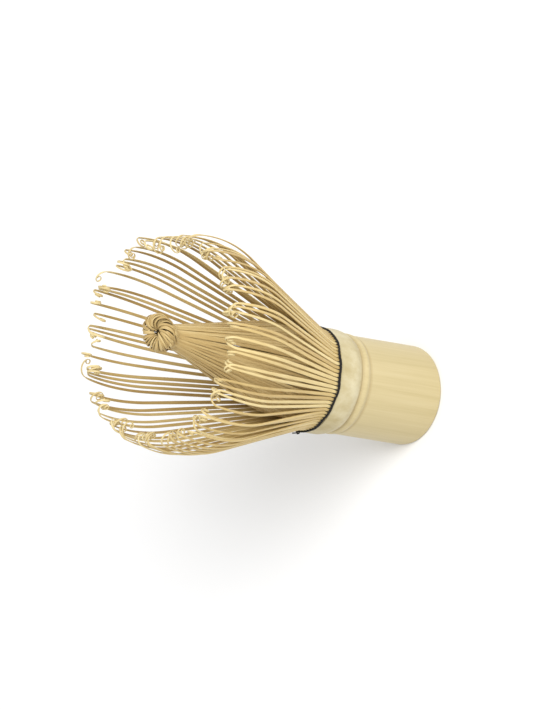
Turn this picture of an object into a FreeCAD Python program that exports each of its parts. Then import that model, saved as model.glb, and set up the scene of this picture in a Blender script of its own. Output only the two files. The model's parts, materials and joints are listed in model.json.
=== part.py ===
import FreeCAD, Part
import math
import os
import Sketcher

Vector = FreeCAD.Vector
doc = FreeCAD.newDocument("tea_whisk")

# ---------------------------------------------------------------- driving dimensions
# Millimetres and degrees.  Heights are measured from the flat end of the grip.
DIMENSIONS = [
    ("grip_radius", 14.15, "outside of the bamboo grip"),
    ("bore_radius", 10.8, "hollow of the culm below the node"),
    ("end_round", 0.7, "rounding of the cut end"),
    ("septum_base", 28.6, "underside of the node's partition"),
    ("septum_top", 31.4, "upper side of the node's partition"),
    ("cavity_radius", 11.4, "hollow of the culm above the node"),
    ("ridge_height", 29.9, "crest of the low ridge of the node"),
    ("ridge_radius", 14.3, "radius over the ridge"),
    ("ridge_span", 1.1, "half the height of the ridge"),
    ("ridge_slope", 0.6, "height over which the ridge rises from the grip"),
    ("edge_round", 0.35, "rounding of the ridge and of the scar groove"),
    ("collar_round", 1.0, "rounding of the collar's lower edge"),
    ("scar_height", 31.5, "bottom of the sheath scar groove"),
    ("scar_radius", 13.85, "radius in the scar groove"),
    ("collar_base", 33.2, "where the collar reaches full size"),
    ("collar_radius", 14.65, "waxy collar between node and thread"),
    ("collar_top", 39.2, "where the splitting starts"),
    ("collar_top_radius", 14.95, "collar where the splitting starts"),
    ("thread_height", 40.0, "middle of the black thread, line of the flexing roots"),
    ("splits", 16, "first splits of the culm"),
    ("tines_per_split", 5, "tines cut from one split, in each row"),
    ("root_gap", 0.36, "slit between collar and the roots"),
    ("outer_root_radius", 14.8, "middle of the outer roots"),
    ("outer_root_thick", 0.8, "outer roots, through the wall"),
    ("outer_root_rise", 0.35, "straight root above the thread's middle"),
    ("outer_width", 0.86, "outer tine at the thread, along the rim"),
    ("outer_tip_width", 0.5, "outer tine at the rim"),
    ("narrowing_start", 41.0, "height from which an outer tine narrows"),
    ("narrowing_end", 99.0, "height at which it is narrowest, above its crook"),
    ("narrowing_room", 0.1, "reach of the narrowing cut beside the tine"),
    ("flare_radius", 14.0, "bend by which an outer tine leaves the thread"),
    ("flare_angle", 23.3, "outward slope of the straight blade"),
    ("blade_length", 30.6, "straight part of an outer tine"),
    ("blade_thick", 0.42, "outer tine at the shoulder"),
    ("shoulder_radius", 40.5, "bend that brings the tine upright again"),
    ("shoulder_angle", 31.3, "turn of the shoulder"),
    ("crook_radius", 1.9, "curled end of an outer tine"),
    ("crook_angle", 165.0, "turn of the curled end"),
    ("crook_thick", 0.28, "outer tine in its crook"),
    ("curl_radius", 0.85, "last tight curl"),
    ("curl_angle", 190.0, "turn of the last curl"),
    ("curl_thick", 0.2, "outer tine in its last curl"),
    ("joining_run", 0.5, "short straight between two bends"),
    ("inner_root_radius", 12.3, "middle of the inner roots"),
    ("inner_root_thick", 0.8, "inner roots, through the wall"),
    ("inner_upright", 10.0, "upright part of an inner tine"),
    ("inner_fill", 0.76, "part of its pitch that an inner tine fills"),
    ("bulge_radius", 50.0, "bend by which an inner tine turns inwards"),
    ("bulge_angle", 13.5, "inward slope of an inner tine"),
    ("inner_run", 31.7, "sloping part of an inner tine"),
    ("inner_thick", 0.45, "inner tine at the neck"),
    ("neck_radius", 6.0, "bend of an inner tine at the neck"),
    ("neck_angle", 48.5, "turn at the neck, outwards"),
    ("bud_radius", 2.1, "curled end of an inner tine, over the bud"),
    ("bud_angle", 185.0, "turn over the bud"),
    ("bud_thick", 0.24, "inner tine in the bud"),
    ("crown_lean", 3.8, "lean of the outer tines towards +X"),
    ("bundle_lean", 5.8, "lean of the inner tines towards +X"),
    ("thread_thick", 0.45, "black cotton thread"),
    ("thread_space", 0.08, "room between the thread and the roots"),
    ("inner_winding_radius", 13.55, "winding between the two rows"),
    ("inner_winding_thick", 0.7, "bunched thread between the two rows"),
    ("stitch_thick", 0.2, "thread where it passes between two tines"),
    ("knot_thick", 1.0, "knot of the thread"),
    ("tail_length", 1.6, "cut end of the thread"),
]

sheet = doc.addObject("Spreadsheet::Sheet", "dims")
for row, (alias, value, meaning) in enumerate(DIMENSIONS, start=1):
    sheet.set(f"A{row}", meaning)
    sheet.set(f"B{row}", str(value))
    sheet.setAlias(f"B{row}", alias)
doc.recompute()


class Size:
    """A length or angle of the sheet, with the expression that binds it."""

    def __init__(self, value, text):
        self.value = value
        self.text = text

    def _join(self, sign, other):
        other = as_size(other)
        value = {
            "+": lambda: self.value + other.value,
            "-": lambda: self.value - other.value,
            "*": lambda: self.value * other.value,
            "/": lambda: self.value / other.value,
        }[sign]()
        return Size(value, f"({self.text} {sign} {other.text})")

    def __add__(self, other):
        return self._join("+", other)

    def __sub__(self, other):
        return self._join("-", other)

    def __mul__(self, other):
        return self._join("*", other)

    def __truediv__(self, other):
        return self._join("/", other)


def as_size(number):
    return number if isinstance(number, Size) else Size(float(number), str(number))


def size(alias):
    return Size(float(getattr(sheet, alias)), f"dims.{alias}")


FULL_TURN = 360
LENGTH_TOLERANCE = 1e-4
SPLITS = int(size("splits").value)
TINES = int(size("tines_per_split").value)
split_pitch = as_size(FULL_TURN) / size("splits")
tine_pitch = split_pitch / size("tines_per_split")
thread_height = size("thread_height")
root_base = size("collar_top") + size("root_gap")


# ---------------------------------------------------------------- helpers
def new_body(label):
    body = doc.addObject("PartDesign::Body", label)
    body.Label = label
    return body


def origin_part(body, role):
    return next(feature for feature in body.Origin.OriginFeatures if feature.Role == role)


def new_sketch(body, name, plane_role):
    sketch = body.newObject("Sketcher::SketchObject", name)
    sketch.AttachmentSupport = [(origin_part(body, plane_role), "")]
    sketch.MapMode = "FlatFace"
    return sketch


def bind(sketch, constraint, measure):
    index = sketch.addConstraint(constraint)
    sketch.setExpression(f"Constraints[{index}]", measure.text)


def place_point(sketch, edge, end, across, up):
    """Fix one end of an edge at its distances from the sketch's origin."""
    origin = (-1, 1)
    bind(sketch, Sketcher.Constraint("DistanceX", *origin, edge, end, across.value), across)
    bind(sketch, Sketcher.Constraint("DistanceY", *origin, edge, end, up.value), up)


def closed_polygon(sketch, corners):
    """A closed outline of straight lines, each corner bound to the sheet."""
    first = sketch.GeometryCount
    points = [Vector(across.value, up.value, 0) for across, up in corners]
    for index, point in enumerate(points):
        sketch.addGeometry(Part.LineSegment(point, points[(index + 1) % len(points)]), False)
    for index in range(len(points)):
        following = (index + 1) % len(points)
        ends = (first + index, 2, first + following, 1)
        sketch.addConstraint(Sketcher.Constraint("Coincident", *ends))
    for index, (across, up) in enumerate(corners):
        place_point(sketch, first + index, 1, across, up)


def revolve(body, sketch, angle=None, both_sides=False):
    revolution = body.newObject("PartDesign::Revolution", "revolution")
    revolution.Profile = sketch
    revolution.ReferenceAxis = (sketch, ["V_Axis"])
    revolution.Angle = FULL_TURN
    if angle is not None:
        revolution.setExpression("Angle", angle.text)
    revolution.Midplane = both_sides
    body.Tip = revolution
    return revolution


def repeat_round(body, features, span, count_text):
    """Repeat features about the culm's axis over a span of degrees."""
    pattern = body.newObject("PartDesign::PolarPattern", "pattern")
    pattern.Originals = features
    pattern.Axis = (origin_part(body, "Z_Axis"), [""])
    pattern.setExpression("Angle", span.text)
    pattern.setExpression("Occurrences", count_text)
    body.Tip = pattern
    return pattern


# ---------------------------------------------------------------- the culm
def ring_edges(shape, radius, height):
    """Names of the circular edges about the axis with this radius and height."""
    names = []
    for number, edge in enumerate(shape.Edges, start=1):
        is_circle = isinstance(edge.Curve, Part.Circle)
        if not is_circle or abs(edge.Curve.Radius - radius.value) > LENGTH_TOLERANCE:
            continue
        if abs(edge.Curve.Center.z - height.value) < LENGTH_TOLERANCE:
            names.append(f"Edge{number}")
    return names


def round_rings(body, name, base, rings, radius):
    """Fillet the rings at the given radii and heights of a turned feature."""
    fillet = body.newObject("PartDesign::Fillet", name)
    edges = [edge for across, up in rings for edge in ring_edges(base.Shape, across, up)]
    fillet.Base = (base, edges)
    fillet.setExpression("Radius", radius.text)
    body.Tip = fillet
    doc.recompute()
    return fillet


def make_culm():
    """Grip, node with its partition, and collar: one length of bamboo."""
    body = new_body("culm")
    zero = as_size(0)
    grip = size("grip_radius")
    ridge_low = size("ridge_height") - size("ridge_span")
    ridge_high = size("ridge_height") + size("ridge_span")
    crest_low = (size("ridge_radius"), ridge_low + size("ridge_slope"))
    crest_high = (size("ridge_radius"), ridge_high - size("ridge_slope"))
    scar = (size("scar_radius"), size("scar_height"))
    collar_edge = (size("collar_radius"), size("collar_base"))
    corners = [
        (size("bore_radius"), zero),
        (grip, zero),
        (grip, ridge_low),
        crest_low,
        crest_high,
        scar,
        collar_edge,
        (size("collar_top_radius"), size("collar_top")),
        (size("cavity_radius"), size("collar_top")),
        (size("cavity_radius"), size("septum_top")),
        (zero, size("septum_top")),
        (zero, size("septum_base")),
        (size("bore_radius"), size("septum_base")),
    ]
    sketch = new_sketch(body, "culm_profile", "XZ_Plane")
    closed_polygon(sketch, corners)
    turned = revolve(body, sketch)
    doc.recompute()
    ended = round_rings(body, "rounded_end", turned, [(grip, zero)], size("end_round"))
    noded = round_rings(body, "rounded_node", ended, [crest_low, crest_high, scar],
                        size("edge_round"))
    round_rings(body, "rounded_collar", noded, [collar_edge], size("collar_round"))
    return body


# ---------------------------------------------------------------- tines
class Ribbon:
    """Side view of a split tine: straight runs and bends, thinning towards the tip.

    The middle line starts at (across, up), heading straight up.  Positive turns
    bend it inwards, towards the axis of the culm, and negative turns outwards.
    """

    def __init__(self, across, up, thick):
        self.at = Vector(across.value, up.value, 0)
        self.heading = 90.0
        self.thick = thick
        self.outer = []
        self.inner = []
        self.radii = []

    def _left(self):
        angle = math.radians(self.heading + 90)
        return Vector(math.cos(angle), math.sin(angle), 0)

    def _edges(self):
        half = self._left() * (self.thick.value / 2)
        return self.at - half, self.at + half

    def run(self, length, thick_after=None):
        outer_from, inner_from = self._edges()
        angle = math.radians(self.heading)
        self.at = self.at + Vector(math.cos(angle), math.sin(angle), 0) * length.value
        if thick_after is not None:
            self.thick = thick_after
        outer_to, inner_to = self._edges()
        self.outer.append(Part.LineSegment(outer_from, outer_to))
        self.inner.append(Part.LineSegment(inner_from, inner_to))
        self.radii.append(None)

    def bend(self, radius, angle, inwards=True):
        side = 1 if inwards else -1
        centre = self.at + self._left() * (side * radius.value)
        stops = []
        for part in (0, 0.5, 1):
            turned = self.heading + side * angle.value * part
            away = math.radians(turned + 90)
            left = Vector(math.cos(away), math.sin(away), 0)
            middle = centre - left * (side * radius.value)
            half = left * (self.thick.value / 2)
            stops.append((middle - half, middle + half, middle))
        self.outer.append(Part.Arc(*[stop[0] for stop in stops]))
        self.inner.append(Part.Arc(*[stop[1] for stop in stops]))
        half_thick = self.thick / 2
        outer_radius = radius + half_thick if inwards else radius - half_thick
        inner_radius = radius - half_thick if inwards else radius + half_thick
        self.radii.append((outer_radius, inner_radius))
        self.at = stops[2][2]
        self.heading += side * angle.value

    def draw(self, sketch, across, up, root_thick):
        """Put the closed outline into a sketch and bind its root and bends."""
        tip_outer, tip_inner = self._edges()
        root_outer = Vector(across.value + root_thick.value / 2, up.value, 0)
        root_inner = Vector(across.value - root_thick.value / 2, up.value, 0)
        count = len(self.outer)
        for edge in self.outer:
            sketch.addGeometry(edge, False)
        sketch.addGeometry(Part.LineSegment(tip_outer, tip_inner), False)
        for edge in self.inner:
            sketch.addGeometry(edge, False)
        sketch.addGeometry(Part.LineSegment(root_inner, root_outer), False)
        root_edge = 2 * count + 1
        place_point(sketch, root_edge, 1, across - root_thick / 2, up)
        place_point(sketch, root_edge, 2, across + root_thick / 2, up)
        for index, pair in enumerate(self.radii):
            if pair is None:
                continue
            outer_radius, inner_radius = pair
            outer_bend = Sketcher.Constraint("Radius", index, outer_radius.value)
            inner_bend = Sketcher.Constraint("Radius", count + 1 + index, inner_radius.value)
            bind(sketch, outer_bend, outer_radius)
            bind(sketch, inner_bend, inner_radius)


def split_placement(index, root_radius, lean):
    """Turn a split to its place round the culm, then lean it about its own root."""
    angle = index * split_pitch.value
    turned = FreeCAD.Rotation(Vector(0, 0, 1), angle)
    root = turned.multVec(Vector(root_radius.value, 0, 0)) + Vector(0, 0, thread_height.value)
    to_root = FreeCAD.Placement(root * -1, FreeCAD.Rotation())
    leaned = FreeCAD.Placement(root, FreeCAD.Rotation(Vector(0, 1, 0), lean.value))
    return leaned * to_root * FreeCAD.Placement(Vector(0, 0, 0), turned)


def centre_the_row(placement):
    """Turn a row of tines back by half its span, so that it is centred."""
    half_span = tine_pitch.value * (TINES - 1) / 2
    return placement * FreeCAD.Placement(Vector(), FreeCAD.Rotation(Vector(0, 0, 1), -half_span))


def narrow_towards_tip(body):
    """Cut both sides of an outer tine so that it narrows from the thread to the rim."""
    sketch = new_sketch(body, "narrowing", "YZ_Plane")
    half = size("outer_width") / as_size(2)
    tip = size("outer_tip_width") / as_size(2)
    beside = half + size("narrowing_room")
    for side in (1, -1):
        sign = as_size(side)
        closed_polygon(sketch, [
            (half * sign, size("narrowing_start")),
            (beside * sign, size("narrowing_start")),
            (beside * sign, size("narrowing_end")),
            (tip * sign, size("narrowing_end")),
        ])
    cut = body.newObject("PartDesign::Pocket", "narrowed")
    cut.Profile = sketch
    cut.Type = "ThroughAll"
    cut.Reversed = True
    body.Tip = cut
    return cut


def make_outer_split(index):
    """Five outer tines of one split: flared blades with crooked, curled ends."""
    body = new_body(f"outer_tines_{index + 1:02d}")
    across = size("outer_root_radius")
    root_thick = size("outer_root_thick")
    ribbon = Ribbon(across, root_base, root_thick)
    ribbon.run(thread_height + size("outer_root_rise") - root_base)
    ribbon.bend(size("flare_radius"), size("flare_angle"), inwards=False)
    ribbon.run(size("blade_length"), size("blade_thick"))
    ribbon.bend(size("shoulder_radius"), size("shoulder_angle"))
    ribbon.run(size("joining_run"), size("crook_thick"))
    ribbon.bend(size("crook_radius"), size("crook_angle"))
    ribbon.run(size("joining_run"), size("curl_thick"))
    ribbon.bend(size("curl_radius"), size("curl_angle"))
    sketch = new_sketch(body, "tine_side", "XZ_Plane")
    ribbon.draw(sketch, across, root_base, root_thick)
    tine = body.newObject("PartDesign::Pad", "tine")
    tine.Profile = sketch
    tine.setExpression("Length", size("outer_width").text)
    tine.SideType = "Symmetric"
    body.Tip = tine
    narrowed = narrow_towards_tip(body)
    span = tine_pitch * (TINES - 1)
    repeat_round(body, [tine, narrowed], span, "dims.tines_per_split")
    body.Placement = centre_the_row(split_placement(index, across, size("crown_lean")))
    return body


def make_inner_split(index):
    """Five inner tines of one split, which close to the bud in the middle."""
    body = new_body(f"inner_tines_{index + 1:02d}")
    across = size("inner_root_radius")
    root_thick = size("inner_root_thick")
    ribbon = Ribbon(across, root_base, root_thick)
    ribbon.run(thread_height + size("inner_upright") - root_base, root_thick)
    ribbon.bend(size("bulge_radius"), size("bulge_angle"))
    ribbon.run(size("inner_run"), size("inner_thick"))
    ribbon.bend(size("neck_radius"), size("neck_angle"), inwards=False)
    ribbon.run(size("joining_run"), size("bud_thick"))
    ribbon.bend(size("bud_radius"), size("bud_angle"))
    sketch = new_sketch(body, "tine_side", "XZ_Plane")
    ribbon.draw(sketch, across, root_base, root_thick)
    tine = revolve(body, sketch, tine_pitch * size("inner_fill"), both_sides=True)
    span = tine_pitch * (TINES - 1)
    repeat_round(body, [tine], span, "dims.tines_per_split")
    body.Placement = centre_the_row(split_placement(index, across, size("bundle_lean")))
    return body


# ---------------------------------------------------------------- the thread
def make_winding(label, radius, thick, heights):
    """Closed rounds of thread about the culm's axis."""
    rounds = []
    for number, height in enumerate(heights, start=1):
        ring = doc.addObject("Part::Torus", f"{label}_round_{number}")
        ring.setExpression("Radius1", radius.text)
        ring.setExpression("Radius2", (thick / 2).text)
        ring.setExpression("Placement.Base.z", height.text)
        rounds.append(ring)
    if len(rounds) == 1:
        rounds[0].Label = label
        return rounds[0]
    winding = doc.addObject("Part::Compound", label)
    winding.Label = label
    winding.Links = rounds
    return winding


def make_stitches(outer_winding_radius, height):
    """Short lengths of thread that pass between every two outer tines."""
    body = new_body("thread_stitches")
    start = size("inner_winding_radius") + size("inner_winding_thick") / 2
    reach = outer_winding_radius - size("thread_thick") / 2 - start - size("thread_space")
    middle = start + reach / 2
    half = size("stitch_thick") / 2
    corners = [
        (middle - reach / 2, height - half),
        (middle + reach / 2, height - half),
        (middle + reach / 2, height + half),
        (middle - reach / 2, height + half),
    ]
    sketch = new_sketch(body, "stitch_side", "XZ_Plane")
    closed_polygon(sketch, corners)
    stitch = body.newObject("PartDesign::Pad", "stitch")
    stitch.Profile = sketch
    stitch.setExpression("Length", size("stitch_thick").text)
    stitch.SideType = "Symmetric"
    body.Tip = stitch
    count = (size("splits") * size("tines_per_split")).text
    repeat_round(body, [stitch], as_size(FULL_TURN), count)
    half_pitch = tine_pitch.value / 2
    body.Placement = FreeCAD.Placement(Vector(), FreeCAD.Rotation(Vector(0, 0, 1), half_pitch))
    return body


def make_knot(winding_radius, height):
    """The knot on the -X side, with its two cut ends."""
    radius = size("knot_thick") / 2
    reach = winding_radius + size("thread_thick") / 2 + radius
    knot = doc.addObject("Part::Sphere", "knot_ball")
    knot.setExpression("Radius", radius.text)
    tails = []
    for number, turn in enumerate((-35, 30), start=1):
        tail = doc.addObject("Part::Cylinder", f"knot_tail_{number}")
        tail.setExpression("Radius", (size("thread_thick") / 2).text)
        tail.setExpression("Height", size("tail_length").text)
        tail.Placement = FreeCAD.Placement(Vector(), FreeCAD.Rotation(Vector(1, -0.4, 0), turn))
        tails.append(tail)
    tied = doc.addObject("Part::MultiFuse", "thread_knot")
    tied.Label = "thread_knot"
    tied.Shapes = [knot] + tails
    tied.setExpression("Placement.Base.x", f"-1 * {reach.text}")
    tied.setExpression("Placement.Base.z", height.text)
    return tied


# ---------------------------------------------------------------- the whole whisk
pieces = [make_culm()]
for number in range(SPLITS):
    pieces.append(make_outer_split(number))
for number in range(SPLITS):
    pieces.append(make_inner_split(number))

half_thread = size("thread_thick") / 2
outer_face = size("outer_root_radius") + size("outer_root_thick") / 2
outer_winding_radius = outer_face + size("thread_space") + half_thread
round_step = half_thread + 0.01
outer_heights = [thread_height - round_step, thread_height + round_step]
pieces.append(make_winding("thread_outer_winding", outer_winding_radius, size("thread_thick"),
                           outer_heights))
pieces.append(make_winding("thread_inner_winding", size("inner_winding_radius"),
                           size("inner_winding_thick"), [thread_height]))
pieces.append(make_stitches(outer_winding_radius, thread_height))
pieces.append(make_knot(outer_winding_radius, thread_height + round_step))
doc.recompute()

# ---------------------------------------------------------------- checks and files
for item in doc.Objects:
    if "Invalid" in item.State or "Error" in item.State:
        raise RuntimeError(f"{item.Label} failed: {item.State}")
for piece in pieces:
    if piece.Shape.isNull() or not piece.Shape.isValid():
        raise RuntimeError(f"{piece.Label} has no valid shape")

expected_row = TINES
for piece in pieces:
    if "tines" in piece.Label and len(piece.Shape.Solids) != expected_row:
        raise RuntimeError(f"{piece.Label} has {len(piece.Shape.Solids)} tines")

os.makedirs("parts", exist_ok=True)
for piece in pieces:
    piece.Shape.exportStep(f"parts/{piece.Label}.step")
    box = piece.Shape.BoundBox
    print(f"{piece.Label}: {len(piece.Shape.Solids)} solids, volume {piece.Shape.Volume:.2f}, "
          f"z {box.ZMin:.2f} to {box.ZMax:.2f}")
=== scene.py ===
"""Looks of the bamboo tea whisk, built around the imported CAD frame.

Lengths named in millimetres are turned into metres by MM where they meet the frame.
"""
import json
import math
import random

import bpy
import numpy as np
from mathutils import Matrix, Vector


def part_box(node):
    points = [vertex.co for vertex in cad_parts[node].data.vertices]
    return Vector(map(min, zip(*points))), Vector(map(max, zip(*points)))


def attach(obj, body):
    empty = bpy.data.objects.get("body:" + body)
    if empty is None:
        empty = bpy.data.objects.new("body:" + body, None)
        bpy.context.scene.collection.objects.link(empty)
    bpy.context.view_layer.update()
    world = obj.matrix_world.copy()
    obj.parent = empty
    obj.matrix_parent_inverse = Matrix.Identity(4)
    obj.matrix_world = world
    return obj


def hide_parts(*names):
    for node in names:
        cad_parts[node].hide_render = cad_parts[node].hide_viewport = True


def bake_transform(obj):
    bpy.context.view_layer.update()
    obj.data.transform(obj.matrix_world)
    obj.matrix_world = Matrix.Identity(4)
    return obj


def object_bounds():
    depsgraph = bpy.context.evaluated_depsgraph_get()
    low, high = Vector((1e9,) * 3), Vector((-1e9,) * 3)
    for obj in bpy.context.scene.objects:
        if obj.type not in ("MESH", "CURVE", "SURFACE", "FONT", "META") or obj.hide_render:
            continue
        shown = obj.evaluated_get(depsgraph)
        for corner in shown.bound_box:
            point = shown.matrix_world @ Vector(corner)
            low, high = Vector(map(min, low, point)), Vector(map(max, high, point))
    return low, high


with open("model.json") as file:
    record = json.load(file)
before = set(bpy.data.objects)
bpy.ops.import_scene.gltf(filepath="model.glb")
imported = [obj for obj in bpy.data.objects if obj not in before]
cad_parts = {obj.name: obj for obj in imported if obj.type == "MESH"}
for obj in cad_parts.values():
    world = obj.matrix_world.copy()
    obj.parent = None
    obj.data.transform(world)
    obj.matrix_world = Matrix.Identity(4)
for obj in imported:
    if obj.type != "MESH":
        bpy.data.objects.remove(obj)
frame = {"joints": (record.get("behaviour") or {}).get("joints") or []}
cad_low, cad_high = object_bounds()

MM = 0.001
SEED = 20
chance = random.Random(SEED)

# ------------------------------------------------------------------ places from the frame
joints = {joint["name"]: joint for joint in frame["joints"]}
outer_joints = [joints[name] for name in sorted(joints) if name.startswith("outer_flex")]
inner_joints = [joints[name] for name in sorted(joints) if name.startswith("inner_flex")]
COLLAR_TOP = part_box("culm")[1].z / MM
THREAD_HEIGHT = outer_joints[0]["pos_m"][2] / MM
OUTER_ROOT = math.hypot(*outer_joints[0]["pos_m"][:2]) / MM
INNER_ROOT = math.hypot(*inner_joints[0]["pos_m"][:2]) / MM
TINES_PER_SPLIT = 5
SPLIT_TURN = 360 / len(outer_joints)
TINE_TURN = SPLIT_TURN / TINES_PER_SPLIT
TINE_COUNT = TINES_PER_SPLIT * len(outer_joints)

# Degrees by which the two rows lean towards +X.
CROWN_LEAN = 3.8
BUNDLE_LEAN = 5.8


def unit(vectors):
    return vectors / np.linalg.norm(vectors, axis=-1, keepdims=True)


def smooth(values):
    clipped = np.clip(values, 0, 1)
    return clipped * clipped * (3 - 2 * clipped)


def thread_wave(turn):
    """Rise and fall of the thread and of the collar's top, round the culm."""
    return 0.1 - 0.57 * np.cos(turn) - 1.15 * np.cos(2 * turn)


def node_wave(turn):
    """Rise and fall of the node's ridge and groove, round the culm."""
    return -0.75 - 0.7 * np.cos(turn) - 0.9 * np.cos(2 * turn)


def leaned(points, root, degrees):
    """Turn points about the Y direction through a root, towards +X."""
    angle = math.radians(degrees)
    cos, sin = math.cos(angle), math.sin(angle)
    turn = np.array([[cos, 0, sin], [0, 1, 0], [-sin, 0, cos]])
    return (points - root) @ turn.T + root


# ------------------------------------------------------------------ mesh building
class MeshMaker:
    """Collects swept strips and rods, with their grain coordinates, into one mesh."""

    def __init__(self):
        self.points = []
        self.faces = []
        self.grain = []
        self.tone = []
        self.count = 0

    def add(self, points, faces, grain, tone):
        self.points.append(points)
        self.faces.extend([tuple(index + self.count for index in face) for face in faces])
        self.grain.append(grain)
        self.tone.append(tone)
        self.count += len(points)

    def sweep(self, path, across, widths, thicks, outline, tone, along=None):
        """Sweep an outline of (across, through) pairs along a path."""
        tangent = unit(np.gradient(path, axis=0))
        across = unit(across - tangent * np.sum(across * tangent, axis=1, keepdims=True))
        through = np.cross(tangent, across)
        sides = len(outline)
        rings = len(path)
        flat = np.array(outline)
        offset_across = flat[None, :, 0] * widths[:, None] / 2
        offset_through = flat[None, :, 1] * thicks[:, None] / 2
        points = (
            path[:, None, :]
            + across[:, None, :] * offset_across[..., None]
            + through[:, None, :] * offset_through[..., None]
        ).reshape(-1, 3)
        faces = []
        for ring in range(rings - 1):
            for side in range(sides):
                after = (side + 1) % sides
                low, high = ring * sides, (ring + 1) * sides
                faces.append((low + side, low + after, high + after, high + side))
        faces.append(tuple(reversed(range(sides))))
        faces.append(tuple(range((rings - 1) * sides, rings * sides)))
        step = np.linalg.norm(np.diff(path, axis=0), axis=1)
        length = np.concatenate([[0], np.cumsum(step)]) if along is None else along
        shift = chance.uniform(0, 500)
        grain = np.stack(
            [
                offset_across + shift,
                offset_through,
                np.repeat(length[:, None], sides, axis=1),
            ],
            axis=-1,
        ).reshape(-1, 3)
        self.add(points, faces, grain, np.full(len(points), tone))

    def build(self, name, material):
        mesh = bpy.data.meshes.new(name)
        points = np.concatenate(self.points) * MM
        mesh.from_pydata(points.tolist(), [], self.faces)
        grain = mesh.attributes.new("grain", "FLOAT_VECTOR", "POINT")
        grain.data.foreach_set("vector", np.concatenate(self.grain).astype(np.float32).ravel())
        tone = mesh.attributes.new("tone", "FLOAT", "POINT")
        tone.data.foreach_set("value", np.concatenate(self.tone).astype(np.float32))
        mesh.polygons.foreach_set("use_smooth", [True] * len(mesh.polygons))
        mesh.set_sharp_from_angle(angle=math.radians(60))
        mesh.materials.append(material)
        piece = bpy.data.objects.new(name, mesh)
        bpy.context.scene.collection.objects.link(piece)
        return piece


def rounded_outline(corner=0.28, steps=2):
    """A rectangle of half-width 1 with rounded corners, as (across, through) pairs."""
    outline = []
    for quarter, (sign_x, sign_y) in enumerate([(1, 1), (-1, 1), (-1, -1), (1, -1)]):
        for step in range(steps + 1):
            angle = math.radians(quarter * 90 + 90 * step / steps)
            x = sign_x * (1 - corner) + corner * math.cos(angle)
            y = sign_y * (1 - 1.6 * corner) + 1.6 * corner * math.sin(angle)
            outline.append((x, y))
    return outline


STRIP = rounded_outline()
ROD = [(math.cos(math.tau * side / 8), math.sin(math.tau * side / 8)) for side in range(8)]


# ------------------------------------------------------------------ tine side views
STEP = 0.28


def side_view(segments, softness=1.2):
    """Integrate straight runs and bends, given as (length, inward turn in degrees).

    Returns the distance outwards, the height and the outward tilt at even steps.
    """
    total = sum(length for length, _ in segments)
    count = int(total / STEP) + 1
    where = np.linspace(0, total, count)
    bend = np.zeros(count)
    start = 0
    for length, turn in segments:
        inside = (where >= start) & (where < start + length)
        bend[inside] = turn / length
        start += length
    reach = max(1, int(softness / STEP))
    kernel = np.hanning(2 * reach + 3)[1:-1]
    kernel /= kernel.sum()
    padded = np.pad(bend, reach, mode="edge")
    bend = np.convolve(padded, kernel, "valid")[:count]
    gap = where[1] - where[0]
    tilt = -np.concatenate([[0], np.cumsum((bend[1:] + bend[:-1]) / 2) * gap])
    angle = np.radians(tilt)
    out = np.concatenate([[0], np.cumsum(np.sin((angle[1:] + angle[:-1]) / 2)) * gap])
    up = np.concatenate([[0], np.cumsum(np.cos((angle[1:] + angle[:-1]) / 2)) * gap])
    return where, out, up, angle


def arc(radius, degrees, turn_in=True):
    return (radius * math.radians(degrees), degrees if turn_in else -degrees)


# ------------------------------------------------------------------ outer tines
ROOT_BELOW = 1.0
OUTER_FACE_BACK = 0.42
FLARE_RADIUS = 9.0
FLARE_TURN = 22.8
BLADE_LENGTH = 32.9
SHOULDER_RADIUS = 40.5
SHOULDER_TURN = 31.3
CROOK_GAP = 0.4
CURL_TIGHTENS = 0.72

# Widths and thicknesses at shares of a tine's length, from its root to its tip.
WIDTH_SHARES = [0, 0.08, 0.4, 0.75, 0.85, 1]
OUTER_WIDTHS = [0.95, 1.05, 0.95, 0.74, 0.56, 0.42]
THICK_SHARES = [0, 0.013, 0.08, 0.3, 0.7, 0.85, 1]
OUTER_THICKS = [0.36, 0.8, 0.72, 0.52, 0.4, 0.26, 0.2]

# Sides where the rim reaches further: direction and spread in degrees, extra blade length.
FULL_SIDES = [(58, 34, 3.0), (128, 26, 2.7)]
EXTRA_FLARE = 0.35

# Ways in which the five tines of one split stand together at the rim.
GROUPS = [(2, 3), (3, 2), (1, 2, 2), (2, 1, 2), (2, 2, 1), (1, 3, 1), (1, 4)]
RIM_SPACING = 2.4


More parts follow.
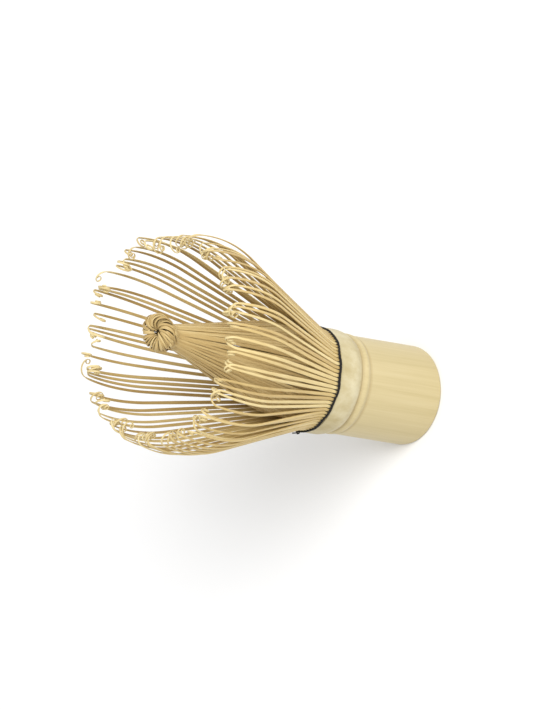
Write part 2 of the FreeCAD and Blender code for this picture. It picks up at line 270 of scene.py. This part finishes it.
def outer_tine(maker, degrees, slide, crook, curl, side_turn, drift, length, flare, width):
    """One outer tine: flared blade, shoulder, crook and curl.

    slide moves its rim sideways, and drift and side_turn take its curl out of its plane.
    """
    angle = math.radians(degrees)
    wave = float(thread_wave(angle))
    fullness = [
        extra * math.exp(-(((degrees - side) / spread) ** 2)) for side, spread, extra in FULL_SIDES
    ]
    flare = flare + EXTRA_FLARE * fullness[0]
    segments = [
        (ROOT_BELOW, 0),
        arc(FLARE_RADIUS, FLARE_TURN + flare, turn_in=False),
        (BLADE_LENGTH + length - wave + sum(fullness), 0),
        arc(SHOULDER_RADIUS, SHOULDER_TURN + flare),
        (CROOK_GAP, 0),
        arc(crook[0], crook[1]),
        arc(curl[0], curl[1]),
        arc(curl[0] * CURL_TIGHTENS, curl[2]),
    ]
    where, _, _, tilt = side_view(segments, 0.8)
    total = where[-1]
    blade_end = total - sum(segment[0] for segment in segments[-3:])
    radial = np.array([math.cos(angle), math.sin(angle), 0])
    tangential = np.array([-math.sin(angle), math.cos(angle), 0])
    root = radial * (OUTER_ROOT - OUTER_FACE_BACK) + np.array([0, 0, THREAD_HEIGHT + wave])
    curled = smooth((where - blade_end + 2) / 4)
    heading = np.radians(side_turn) * curled
    bearing = radial[None] * np.cos(heading)[:, None] + tangential[None] * np.sin(heading)[:, None]
    across = tangential[None] * np.cos(heading)[:, None] - radial[None] * np.sin(heading)[:, None]
    steps = np.gradient(where)
    flow = (bearing * np.sin(tilt)[:, None] + np.array([0, 0, 1]) * np.cos(tilt)[:, None])
    flow = flow * steps[:, None]
    moved = np.concatenate([np.zeros((1, 3)), np.cumsum((flow[1:] + flow[:-1]) / 2, axis=0)])
    path = root + moved - np.array([0, 0, ROOT_BELOW])
    sway = slide * (np.clip(where / blade_end, 0, 1.2) ** 1.7)
    path += tangential[None] * sway[:, None]
    turned = np.clip((where - blade_end) / max(total - blade_end, 1e-6), 0, 1)
    path += across * (drift * turned)[:, None]
    path = leaned(path, root, CROWN_LEAN)
    share = where / total
    widths = np.interp(share, WIDTH_SHARES, OUTER_WIDTHS)
    widths *= 1 + (width - 1) * smooth(share * 5)
    thicks = np.interp(share, THICK_SHARES, OUTER_THICKS)
    maker.sweep(path, across, widths, thicks, STRIP, chance.random())


def gathered():
    """Sideways slides that gather the tines of one split into groups of one to four."""
    slides = []
    for size in chance.choice(GROUPS):
        closeness = chance.uniform(0.3, 0.68)
        for place in range(size):
            slides.append(((size - 1) / 2 - place) * closeness * RIM_SPACING)
    return slides


def outer_variation(slide, own_side):
    """Random amounts by which an outer tine differs from its neighbours.

    A tine at the edge of its split turns its curl to its own side, clear of the next split's.
    """
    slide = slide + chance.gauss(0, 0.14)
    crook = (chance.uniform(1.5, 2.4), chance.uniform(140, 182))
    curl = (chance.uniform(0.7, 1.2), chance.uniform(150, 270), chance.uniform(90, 300))
    side_turn = chance.gauss(0, 27)
    drift = chance.choice((-1, 1)) * chance.uniform(0.4, 1.5)
    if own_side:
        side_turn = -own_side * abs(side_turn)
        drift = own_side * abs(drift)
    length = chance.gauss(0, 0.4)
    flare = chance.gauss(-1.3, 0.5)
    width = chance.uniform(0.88, 1.1)
    return slide, crook, curl, side_turn, drift, length, flare, width


def make_outer_tines(material):
    for split, joint in enumerate(outer_joints):
        maker = MeshMaker()
        for row, slide in enumerate(gathered()):
            degrees = split * SPLIT_TURN + (row - (TINES_PER_SPLIT - 1) / 2) * TINE_TURN
            own_side = {0: 1, TINES_PER_SPLIT - 1: -1}.get(row, 0)
            outer_tine(maker, degrees, *outer_variation(slide, own_side))
        piece = maker.build(f"outer_split_{split + 1:02d}", material)
        bend_with(piece, f"outer_tines_{split + 1:02d}")


def bend_with(piece, node):
    """Bake a piece's placement into its mesh and hide the frame's part that it stands in for."""
    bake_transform(piece)
    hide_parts(node)


# ------------------------------------------------------------------ inner tines
INNER_UPRIGHT = 10.0
INNER_BEND_RADIUS = 50.0
INNER_BEND_TURN = 13.5
INNER_BLADE_LENGTH = 31.7
NECK_RADIUS = 6.0
NECK_TURN = 48.5
BUD_RADIUS = 2.1
LOOSE_SHARE = 0.06


def inner_tine(maker, degrees, under, swirl, wander, proud, tip, reach, width):
    """One inner tine, from its root to the bud, where it curls over the middle.

    Every second tine lies under its neighbours (under is 1, otherwise 0).
    """
    segments = [
        (ROOT_BELOW + INNER_UPRIGHT, 0),
        arc(INNER_BEND_RADIUS, INNER_BEND_TURN),
        (INNER_BLADE_LENGTH + reach - 0.9 * under, 0),
        arc(NECK_RADIUS, NECK_TURN, turn_in=False),
        (CROOK_GAP, 0),
        arc(BUD_RADIUS - 0.25 * under, tip),
    ]
    where, out, up, tilt = side_view(segments, 0.6)
    total = where[-1]
    angle = math.radians(degrees)
    slope_start = ROOT_BELOW + 12
    neck = total - sum(segment[0] for segment in segments[-3:])
    inward = smooth((where - slope_start) / (neck - slope_start))
    radius = INNER_ROOT + out - 0.45 * under * inward
    bulge = np.sin(np.pi * np.clip(where / neck, 0, 1)) ** 2
    radius = radius + proud * bulge
    turned = np.clip((where - neck) / (total - neck), 0, 1)
    azimuth = angle + wander[0] * np.sin(np.pi * np.clip(where / neck, 0, 1)) * inward
    azimuth = azimuth + math.radians(wander[1]) * inward
    azimuth = azimuth + math.radians(swirl) * smooth(turned * 0.9)
    path = np.stack(
        [radius * np.cos(azimuth), radius * np.sin(azimuth), THREAD_HEIGHT - ROOT_BELOW + up],
        axis=1,
    )
    radial = np.stack([np.cos(azimuth), np.sin(azimuth), np.zeros_like(azimuth)], axis=1)
    normal = radial * np.cos(tilt)[:, None] - np.array([0, 0, 1]) * np.sin(tilt)[:, None]
    across = np.cross(unit(np.gradient(path, axis=0)), normal)
    root = np.array([math.cos(angle), math.sin(angle), 0]) * INNER_ROOT
    root = root + np.array([0, 0, THREAD_HEIGHT])
    path = leaned(path, root, BUNDLE_LEAN)
    share = where / total
    widths = np.interp(share, [0, 0.3, 0.8, 0.9, 1], [0.86, 0.86, 0.68, 0.62, 0.5]) * width
    thicks = np.interp(share, [0, 0.2, 0.75, 1], [0.7, 0.5, 0.34, 0.22])
    maker.sweep(path, across, widths, thicks, STRIP, chance.random())


def make_inner_tines(material):
    for split, joint in enumerate(inner_joints):
        maker = MeshMaker()
        petal_swirl = chance.gauss(58, 11)
        petal_tip = chance.uniform(165, 212)
        petal_reach = chance.gauss(0, 0.3)
        for row in range(TINES_PER_SPLIT):
            number = split * TINES_PER_SPLIT + row
            degrees = split * SPLIT_TURN + (row - (TINES_PER_SPLIT - 1) / 2) * TINE_TURN
            under = number % 2
            swirl = petal_swirl + chance.gauss(0, 4)
            wander = (chance.gauss(0, 0.03), chance.gauss(0, 1.6))
            proud = abs(chance.gauss(0, 0.25))
            tip = petal_tip + chance.gauss(0, 5)
            if chance.random() < LOOSE_SHARE:
                tip = chance.uniform(70, 115)
            width = chance.uniform(0.88, 1.12)
            reach = petal_reach + chance.gauss(0, 0.12)
            inner_tine(maker, degrees, under, swirl, wander, proud, tip, reach, width)
        piece = maker.build(f"inner_split_{split + 1:02d}", material)
        bend_with(piece, f"inner_tines_{split + 1:02d}")


# ------------------------------------------------------------------ culm
GRIP_RADIUS = 14.15
BORE_RADIUS = 10.8
CAVITY_RADIUS = 11.4
PARTITION_LOW = 28.8
PARTITION_TOP = 31.05
RIDGE_FOOT = 28.1
RIDGE_HEIGHT = 29.6
GROOVE_HEIGHT = 31.3
END_ROUND = 0.7


def bump(height, middle, spread):
    return np.exp(-(((height - middle) / spread) ** 2))


def culm_outside(height):
    """Radius of the culm's outside, before it is made uneven."""
    radius = np.full_like(height, GRIP_RADIUS)
    radius -= 0.12 * bump(height, RIDGE_FOOT, 0.5)
    radius += 0.3 * bump(height, RIDGE_HEIGHT, 0.75)
    radius -= 0.36 * bump(height, GROOVE_HEIGHT, 0.42)
    collar = 0.95 * smooth((height - 31.2) / 3.4) - 0.34 * smooth((height - 36) / 3.8)
    return radius + collar


def make_culm(material):
    """Hollow grip, node and collar as one closed shell, slightly oval and uneven.

    The profile runs up the bore's inside, down to the grip's end, up outside and into the cavity.
    """
    around = 360
    heights = np.concatenate([
        np.linspace(END_ROUND, 27, 50), np.linspace(27.2, 34, 60), np.linspace(34.2, COLLAR_TOP, 24),
    ])
    outside = [(radius, height) for radius, height in zip(culm_outside(heights), heights)]
    outside_face = outside[0][0]
    corner = [
        (outside_face - END_ROUND + END_ROUND * math.sin(angle), END_ROUND * (1 - math.cos(angle)))
        for angle in np.linspace(0, math.pi / 2, 7)[:-1]
    ]
    top = [(14.55, COLLAR_TOP + 0.12), (11.6, COLLAR_TOP + 0.12)]
    top += [(CAVITY_RADIUS, COLLAR_TOP - 0.1)]
    cavity = [(CAVITY_RADIUS, height) for height in np.linspace(COLLAR_TOP - 1, 32.4, 8)]
    cavity += [(11.1, 31.7), (10.4, 31.35), (8, 31.2), (5, 31.1)]
    cavity += [(2, PARTITION_TOP), (0.01, PARTITION_TOP)]
    bore = [(0.01, PARTITION_LOW), (3, 28.75), (6, 28.65), (9, 28.5), (10.3, 28.1), (10.75, 27.4)]
    bore += [(BORE_RADIUS, height) for height in np.linspace(26, 0.5, 24)]
    bore += [(10.9, 0.15), (11.1, 0.0), (12.2, 0.0)]
    profile = np.array(bore + corner + outside + top + cavity)
    turn = np.linspace(0, math.tau, around, endpoint=False)
    radius = np.repeat(profile[:, 0][:, None], around, axis=1)
    height = np.repeat(profile[:, 1][:, None], around, axis=1)
    oval = 0.07 * np.cos(2 * (turn - 0.7)) + 0.04 * np.cos(3 * turn + 1) + 0.02 * np.sin(7 * turn)
    radius = radius * (1 + oval[None] / 14)
    follows = smooth((height - 24) / 6) * smooth((radius - 10.9) / 0.4)
    high = smooth((height - 33) / 5)
    shift = follows * (node_wave(turn) * (1 - high) + thread_wave(turn) * high)
    height = height + shift
    node = bump(height, 31, 2.4)
    height = height + node * (0.12 * np.sin(turn + 0.5) + 0.08 * np.sin(3 * turn + 2))[None]
    lumps = 0.035 * np.sin(5 * turn + 0.4) + 0.03 * np.sin(8 * turn + 2)
    outer_skin = (radius > 13) * smooth((height - 31.8) / 2)
    radius = radius + lumps[None] * outer_skin
    points = np.stack([radius * np.cos(turn), radius * np.sin(turn), height], axis=-1)
    rows = len(profile)
    faces = []
    for row in range(rows):
        after_row = (row + 1) % rows
        for column in range(around):
            after = (column + 1) % around
            faces.append((
                row * around + column, row * around + after,
                after_row * around + after, after_row * around + column,
            ))
    mesh = bpy.data.meshes.new("culm_bamboo")
    mesh.from_pydata((points.reshape(-1, 3) * MM).tolist(), [], faces)
    mesh.polygons.foreach_set("use_smooth", [True] * len(mesh.polygons))
    mesh.set_sharp_from_angle(angle=math.radians(50))
    rise = mesh.attributes.new("rise", "FLOAT", "POINT")
    rise.data.foreach_set("value", (shift.ravel() * MM).astype(np.float32))
    mesh.materials.append(material)
    piece = bpy.data.objects.new("culm_bamboo", mesh)
    bpy.context.scene.collection.objects.link(piece)
    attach(piece, "culm")
    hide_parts("culm")


# ------------------------------------------------------------------ thread
THREAD_THICK = 0.45
PLIES = 3
PLY_TWISTS = 64
RING_STEPS = 1280
ROUND_RIPPLE = 0.2
UPPER_ROUND_RIPPLE = 0.22
LOOP_THICK = 0.36
KNOT_TURNS = 2
KNOT_THICK = 0.2


def ring_path(radius, height, ripple, phase):
    """Direction, distance from the axis and height of a round that follows the thread's wave."""
    turn = np.linspace(0, math.tau, RING_STEPS, endpoint=False)
    ripples = ripple * (np.sin(5 * turn + phase) + 0.8 * np.sin(13 * turn + 2 * phase))
    height = height + thread_wave(turn) + ripples + 0.03 * np.sin(40 * turn)
    across = radius + 0.03 * np.cos(80 * turn)
    return turn, across, height


def closed_rod(maker, path, normals, radius, tone):
    """A closed round rod along a loop."""
    tangent = unit(np.roll(path, -1, axis=0) - np.roll(path, 1, axis=0))
    second = np.cross(tangent, normals)
    sides = len(ROD)
    count = len(path)
    circle = np.array(ROD)
    points = (
        path[:, None, :]
        + normals[:, None, :] * circle[None, :, 0, None] * radius
        + second[:, None, :] * circle[None, :, 1, None] * radius
    ).reshape(-1, 3)
    faces = []
    for ring in range(count):
        after_ring = (ring + 1) % count
        for side in range(sides):
            after = (side + 1) % sides
            faces.append((
                ring * sides + side, ring * sides + after,
                after_ring * sides + after, after_ring * sides + side,
            ))
    maker.add(points, faces, points.copy(), np.full(len(points), tone))


def twisted_round(maker, radius, height, thick, ripple, phase):
    """One round of thread made of three twisted plies."""
    turn, across, heights = ring_path(radius, height, ripple, phase)
    for ply in range(PLIES):
        twist = turn * PLY_TWISTS + ply * math.tau / PLIES
        reach = thick * 0.24
        ply_radius = across + reach * np.cos(twist)
        ply_height = heights + reach * np.sin(twist)
        path = np.stack(
            [ply_radius * np.cos(turn), ply_radius * np.sin(turn), ply_height], axis=1
        )
        normals = np.stack([np.cos(turn), np.sin(turn), np.zeros_like(turn)], axis=1)
        closed_rod(maker, path, normals, thick * 0.29, chance.random())


def make_rounds(material, ring_radius):
    """The two rounds outside the tines' roots."""
    maker = MeshMaker()
    twisted_round(maker, ring_radius - 0.5, THREAD_HEIGHT - 0.24, THREAD_THICK, ROUND_RIPPLE, 0.7)
    twisted_round(
        maker, ring_radius - 0.42, THREAD_HEIGHT + 0.18, THREAD_THICK, UPPER_ROUND_RIPPLE, 0.95
    )
    winding = maker.build("thread_rounds", material)
    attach(winding, "culm")
    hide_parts("thread_outer_winding")


def make_rounds_between_rows(material):
    """The thicker rounds between the outer and the inner row."""
    maker = MeshMaker()
    twisted_round(maker, 13.5, THREAD_HEIGHT - 0.1, 0.6, 0.05, 2.1)
    twisted_round(maker, 13.55, THREAD_HEIGHT + 0.35, 0.5, 0.05, 4.1)
    inner = maker.build("thread_between_rows", material)
    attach(inner, "culm")
    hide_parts("thread_inner_winding")


def make_loops(material):
    """A loop of thread between every two outer tines, from outside to the rounds within."""
    maker = MeshMaker()
    for number in range(TINE_COUNT):
        angle = math.radians((number + 0.5) * TINE_TURN)
        radial = np.array([math.cos(angle), math.sin(angle), 0])
        rise = chance.uniform(0.5, 1.1) + 1.6 * max(0, -math.sin(angle)) ** 4
        # Distance from the axis, and height above the thread.
        stops = [(15.05, 0.05), (14.75, 0.35), (14.6, rise * 0.75), (14.5, rise),
                 (14.1, rise * 0.8), (13.7, 0.3)]
        stops = np.array(stops)
        share = np.linspace(0, len(stops) - 1, 18)
        reach = np.interp(share, range(len(stops)), stops[:, 0])
        lift = np.interp(share, range(len(stops)), stops[:, 1])
        path = radial[None] * reach[:, None]
        rise_here = THREAD_HEIGHT + thread_wave(angle)
        path = path + np.array([0, 0, 1]) * (rise_here + lift)[:, None]
        tangential = np.array([-math.sin(angle), math.cos(angle), 0])
        widths = LOOP_THICK - 0.2 * np.clip(lift / rise, 0, 1)
        maker.sweep(path, np.repeat(tangential[None], len(path), 0), widths, widths, ROD,
                    chance.random())
    stitches = maker.build("thread_loops", material)
    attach(stitches, "culm")
    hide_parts("thread_stitches")


def make_knot(material, ring_radius):
    """Two tight turns and two cut ends, on the -X side."""
    knot_height = THREAD_HEIGHT + thread_wave(math.pi) + 0.05
    middle = np.array([-ring_radius, 0, knot_height])
    maker = MeshMaker()
    for turn_number in range(KNOT_TURNS):
        turn = np.linspace(0, math.tau, 40, endpoint=False)
        tilt = 0.9 if turn_number else -0.7
        path = np.stack([
            0.16 * np.sin(2 * turn),
            0.4 * np.cos(turn),
            0.34 * np.sin(turn) * math.cos(tilt) + 0.15 * np.cos(turn) * math.sin(tilt),
        ], axis=1) + middle
        normals = np.repeat(np.array([[1.0, 0, 0]]), len(path), 0)
        closed_rod(maker, path, normals, KNOT_THICK, chance.random())
    for side in (-1, 1):
        share = np.linspace(0, 1, 16)
        path = middle[None] + np.stack([
            -0.35 * share, side * (0.2 + 0.9 * share ** 1.5), 0.25 + 1.0 * share,
        ], axis=1)
        widths = np.interp(share, [0, 0.9, 1], [LOOP_THICK, 0.34, KNOT_THICK])
        across = np.repeat(np.array([[1.0, 0, 0]]), len(path), 0)
        maker.sweep(path, across, widths, widths, ROD, chance.random())
    knot = maker.build("thread_knot_tied", material)
    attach(knot, "culm")
    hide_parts("thread_knot")


def make_thread(material):
    ring_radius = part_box("thread_outer_winding")[1].x / MM - THREAD_THICK / 2
    make_rounds(material, ring_radius)
    make_rounds_between_rows(material)
    make_loops(material)
    make_knot(material, ring_radius)


# ------------------------------------------------------------------ materials
class Nodes:
    """A short way to write a material's node tree."""

    def __init__(self, name):
        self.material = bpy.data.materials.new(name)
        self.material.use_nodes = True
        self.tree = self.material.node_tree
        self.shader = self.tree.nodes["Principled BSDF"]

    def add(self, kind, **settings):
        node = self.tree.nodes.new(kind)
        for key, value in settings.items():
            setattr(node, key, value)
        return node

    def link(self, source, target):
        self.tree.links.new(source, target)

    def attribute(self, name, output="Vector"):
        node = self.add("ShaderNodeAttribute", attribute_name=name)
        return node.outputs[output]

    def scaled(self, vector, scale):
        node = self.add("ShaderNodeMapping")
        node.inputs["Scale"].default_value = scale
        self.link(vector, node.inputs["Vector"])
        return node.outputs["Vector"]

    def noise(self, vector, scale, detail=3, roughness=0.55):
        node = self.add("ShaderNodeTexNoise")
        node.inputs["Scale"].default_value = scale
        node.inputs["Detail"].default_value = detail
        node.inputs["Roughness"].default_value = roughness
        self.link(vector, node.inputs["Vector"])
        return node.outputs["Fac"]

    def ramp(self, value, stops):
        node = self.add("ShaderNodeValToRGB")
        ramp = node.color_ramp
        while len(ramp.elements) < len(stops):
            ramp.elements.new(0.5)
        for element, (position, colour) in zip(ramp.elements, stops):
            element.position = position
            element.color = (*colour, 1)
        self.link(value, node.inputs["Fac"])
        return node.outputs["Color"]

    def mix(self, share, first, second, blend="MIX"):
        node = self.add("ShaderNodeMix", data_type="RGBA", blend_type=blend)
        for source, name in ((share, 0), (first, 6), (second, 7)):
            if isinstance(source, (int, float)):
                node.inputs[name].default_value = source
            elif isinstance(source, tuple):
                node.inputs[name].default_value = (*source, 1)
            else:
                self.link(source, node.inputs[name])
        return node.outputs[2]

    def math(self, operation, first, second=None, clamp=False):
        node = self.add("ShaderNodeMath", operation=operation, use_clamp=clamp)
        for source, index in ((first, 0), (second, 1)):
            if source is None:
                continue
            if isinstance(source, (int, float)):
                node.inputs[index].default_value = source
            else:
                self.link(source, node.inputs[index])
        return node.outputs[0]

    def bump(self, height, strength, distance):
        node = self.add("ShaderNodeBump")
        node.inputs["Strength"].default_value = strength
        node.inputs["Distance"].default_value = distance
        self.link(height, node.inputs["Height"])
        self.link(node.outputs["Normal"], self.shader.inputs["Normal"])

    def finish(self, colour, roughness, **settings):
        self.link(colour, self.shader.inputs["Base Color"])
        if isinstance(roughness, (int, float)):
            self.shader.inputs["Roughness"].default_value = roughness
        else:
            self.link(roughness, self.shader.inputs["Roughness"])
        for key, value in settings.items():
            self.shader.inputs[key].default_value = value
        return self.material


# Painted shade: the brown by which the inside face of every tine is multiplied.
INSIDE_FACE_SHADE = (0.7, 0.65, 0.57)
TIP_PALE = (0.66, 0.58, 0.34)

# Length along a tine at which its paler tip starts. An inner tine is shorter than its own value,
# so only the outer tips are paler.
OUTER_TIP_START = 56
INNER_TIP_START = 90
# Brown for the groove's own dark line and for the painted shade and shadow round the node.
NODE_LINE_BROWN_AND_SHADE = (0.34, 0.25, 0.12)

# Brown lines round the node: the upper one is the groove's own dark line deepened with painted
# shade, and the lower one is a painted shadow under the ridge. Height and half width in metres,
# strength.
NODE_SCAR_AND_SHADOW_LINES = [(0.0314, 0.001, 0.62), (0.028, 0.0009, 0.48)]
COLLAR_START = 0.0314


def tine_material(name, dark, middle, light, tip_start):
    """Shaved bamboo: fibres, a tone for each tine, painted shade that browns each tine's inside
    face, and paler tips.
    """
    nodes = Nodes(name)
    grain = nodes.attribute("grain")
    tone = nodes.attribute("tone", "Fac")
    fibre = nodes.noise(nodes.scaled(grain, (9.0, 9.0, 0.35)), 1.0, 4)
    patches = nodes.noise(nodes.scaled(grain, (0.4, 0.4, 0.09)), 1.0, 2)
    value = nodes.math("MULTIPLY", fibre, 0.45)
    value = nodes.math("ADD", value, nodes.math("MULTIPLY", tone, 0.45))
    value = nodes.math("ADD", value, nodes.math("MULTIPLY", patches, 0.35))
    colour = nodes.ramp(value, [(0.25, dark), (0.55, middle), (0.9, light)])
    place = nodes.add("ShaderNodeSeparateXYZ")
    nodes.link(grain, place.inputs[0])
    # Painted shade on the inside face of each tine, fading out towards the paler tip.
    inside = nodes.math("MULTIPLY", nodes.math("ADD", place.outputs["Y"], 0.04), 12, clamp=True)
    tip = nodes.math("MULTIPLY", nodes.math("SUBTRACT", place.outputs["Z"], tip_start), 0.16,
                     clamp=True)
    inside = nodes.math("MULTIPLY", inside, nodes.math("SUBTRACT", 1.0, tip))
    colour = nodes.mix(inside, colour, INSIDE_FACE_SHADE, "MULTIPLY")
    colour = nodes.mix(nodes.math("MULTIPLY", tip, 0.35), colour, TIP_PALE)
    nodes.bump(fibre, 0.25, 0.00005)
    rough = nodes.math("ADD", nodes.math("MULTIPLY", fibre, 0.2), 0.4)
    return nodes.finish(colour, rough, **{"Specular IOR Level": 0.35})


def culm_material():
    """Dried bamboo: fine fibres, soft blotches, a pale waxy collar, brown in the groove that is
    partly painted shade, and a painted shadow line under the ridge.
    """
    nodes = Nodes("culm_bamboo_skin")
    place = nodes.add("ShaderNodeTexCoord").outputs["Object"]
    fibre = nodes.noise(nodes.scaled(place, (2600, 2600, 45)), 1.0, 4)
    streak = nodes.noise(nodes.scaled(place, (420, 420, 9)), 1.0, 3)
    blotch = nodes.noise(nodes.scaled(place, (170, 170, 120)), 1.0, 5, 0.65)
    value = nodes.math("ADD", nodes.math("MULTIPLY", fibre, 0.4),
                       nodes.math("MULTIPLY", streak, 0.6))
    grip = nodes.ramp(value, [(0.3, (0.5, 0.41, 0.21)), (0.55, (0.56, 0.465, 0.255)),
                              (0.8, (0.6, 0.51, 0.3))])
    collar = nodes.ramp(blotch, [(0.3, (0.43, 0.35, 0.175)), (0.5, (0.52, 0.445, 0.26)),
                                 (0.7, (0.61, 0.545, 0.36))])
    height = nodes.add("ShaderNodeSeparateXYZ")
    nodes.link(place, height.inputs[0])
    up = nodes.math("SUBTRACT", height.outputs["Z"], nodes.attribute("rise", "Fac"))
    above = nodes.math("MULTIPLY", nodes.math("SUBTRACT", up, COLLAR_START), 900,
                       clamp=True)
    colour = nodes.mix(above, grip, collar)
    # Painted shade and shadow: the groove's line and the line under the ridge are mixed towards
    # brown.
    for line, half_width, strength in NODE_SCAR_AND_SHADOW_LINES:
        distance = nodes.math("ABSOLUTE", nodes.math("SUBTRACT", up, line))
        share = nodes.math("SUBTRACT", 1.0, nodes.math("DIVIDE", distance, half_width), clamp=True)
        colour = nodes.mix(nodes.math("MULTIPLY", share, strength), colour, NODE_LINE_BROWN_AND_SHADE)
    nodes.bump(value, 0.18, 0.00012)
    rough = nodes.math("ADD", nodes.math("MULTIPLY", streak, 0.22), 0.3)
    return nodes.finish(colour, rough, **{"Specular IOR Level": 0.22})


def thread_material():
    """Black cotton with a little lint."""
    nodes = Nodes("black_cotton")
    grain = nodes.attribute("grain")
    lint = nodes.noise(nodes.scaled(grain, (12, 12, 12)), 1.0, 3)
    colour = nodes.ramp(lint, [(0.35, (0.007, 0.006, 0.005)), (0.7, (0.028, 0.026, 0.024))])
    nodes.bump(lint, 0.4, 0.00005)
    return nodes.finish(colour, 0.85, **{"Sheen Weight": 0.08, "Specular IOR Level": 0.2})


# ------------------------------------------------------------------ build
outer_bamboo = tine_material("outer_tine_bamboo", (0.4, 0.265, 0.095), (0.585, 0.43, 0.175),
                             (0.75, 0.61, 0.305), OUTER_TIP_START)
# Painted shade: the inner row takes the outer row's colours at about 0.85 times, darker for the
# bundle inside the crown.
inner_bamboo_shaded = tine_material("inner_tine_bamboo", (0.34, 0.22, 0.078), (0.49, 0.348, 0.14),
                             (0.63, 0.485, 0.23), INNER_TIP_START)
thread_black = thread_material()
make_culm(culm_material())
make_outer_tines(outer_bamboo)
make_inner_tines(inner_bamboo_shaded)
make_thread(thread_black)


# ------------------------------------------------------------------ floor, light and camera
FLOOR_CORNERS = [(-1, -1), (1, -1), (1, 1), (-1, 1)]


def make_floor():
    mesh = bpy.data.meshes.new("floor")
    corners = [(x * FLOOR_HALF, y * FLOOR_HALF, 0) for x, y in FLOOR_CORNERS]
    mesh.from_pydata(corners, [], [(0, 1, 2, 3)])
    nodes = Nodes("pale_floor")
    nodes.shader.inputs["Base Color"].default_value = (0.86, 0.86, 0.86, 1)
    nodes.shader.inputs["Roughness"].default_value = 0.9
    mesh.materials.append(nodes.material)
    floor = bpy.data.objects.new("floor", mesh)
    bpy.context.scene.collection.objects.link(floor)


ELEVATION = 43.0
ROLL = 9.5
LENS = 600.0
SENSOR = 36.0

# What the picture takes in at the thread, and how far the thread's middle is from its centre.
PICTURE_HEIGHT = 200.6 * MM
THREAD_RIGHT = 11.16 * MM
THREAD_BELOW = 6.67 * MM

FLOOR_HALF = 4.0
KEY_DISTANCE = 1.1
KEY_SIZE = 0.6
KEY_POWER = 8.9
WORLD_STRENGTH = 0.86


def camera_axes():
    """Right, up and back of the camera: +Z points left and a little up in the picture."""
    tilt = math.radians(ELEVATION)
    back = Vector((0, -math.cos(tilt), math.sin(tilt)))
    upward = Vector((0, math.sin(tilt), math.cos(tilt)))
    side = Vector((1, 0, 0))
    roll = math.radians(ROLL)
    right = side * math.sin(roll) - upward * math.cos(roll)
    up = upward * math.sin(roll) + side * math.cos(roll)
    return right, up, back


def make_camera():
    right, up, back = camera_axes()
    thread = Vector((0, 0, THREAD_HEIGHT * MM))
    target = thread - right * THREAD_RIGHT + up * THREAD_BELOW
    data = bpy.data.cameras.new("camera")
    data.lens = LENS
    data.sensor_width = SENSOR
    distance = PICTURE_HEIGHT * LENS / SENSOR
    camera = bpy.data.objects.new("camera", data)
    turn = Matrix((right, up, back)).transposed().to_4x4()
    camera.matrix_world = Matrix.Translation(target + back * distance) @ turn
    data.clip_end = 20
    bpy.context.scene.collection.objects.link(camera)
    bpy.context.scene.camera = camera


def make_light(name, direction, distance, size, power):
    data = bpy.data.lights.new(name, "AREA")
    data.shape = "DISK"
    data.size = size
    data.energy = power
    light = bpy.data.objects.new(name, data)
    direction = Vector(direction).normalized()
    middle = (cad_low + cad_high) / 2
    light.location = middle + direction * distance
    light.rotation_mode = "QUATERNION"
    light.rotation_quaternion = direction.to_track_quat("Z", "Y")
    bpy.context.scene.collection.objects.link(light)


make_floor()
make_camera()
right, up, back = camera_axes()
make_light("key", back + up * 0.34 - right * 0.1, KEY_DISTANCE, KEY_SIZE, KEY_POWER)
world = bpy.data.worlds.new("studio")
world.use_nodes = True
world.node_tree.nodes["Background"].inputs["Color"].default_value = (1, 1, 1, 1)
world.node_tree.nodes["Background"].inputs["Strength"].default_value = WORLD_STRENGTH
bpy.context.scene.world = world
bpy.context.scene.view_settings.view_transform = "Standard"
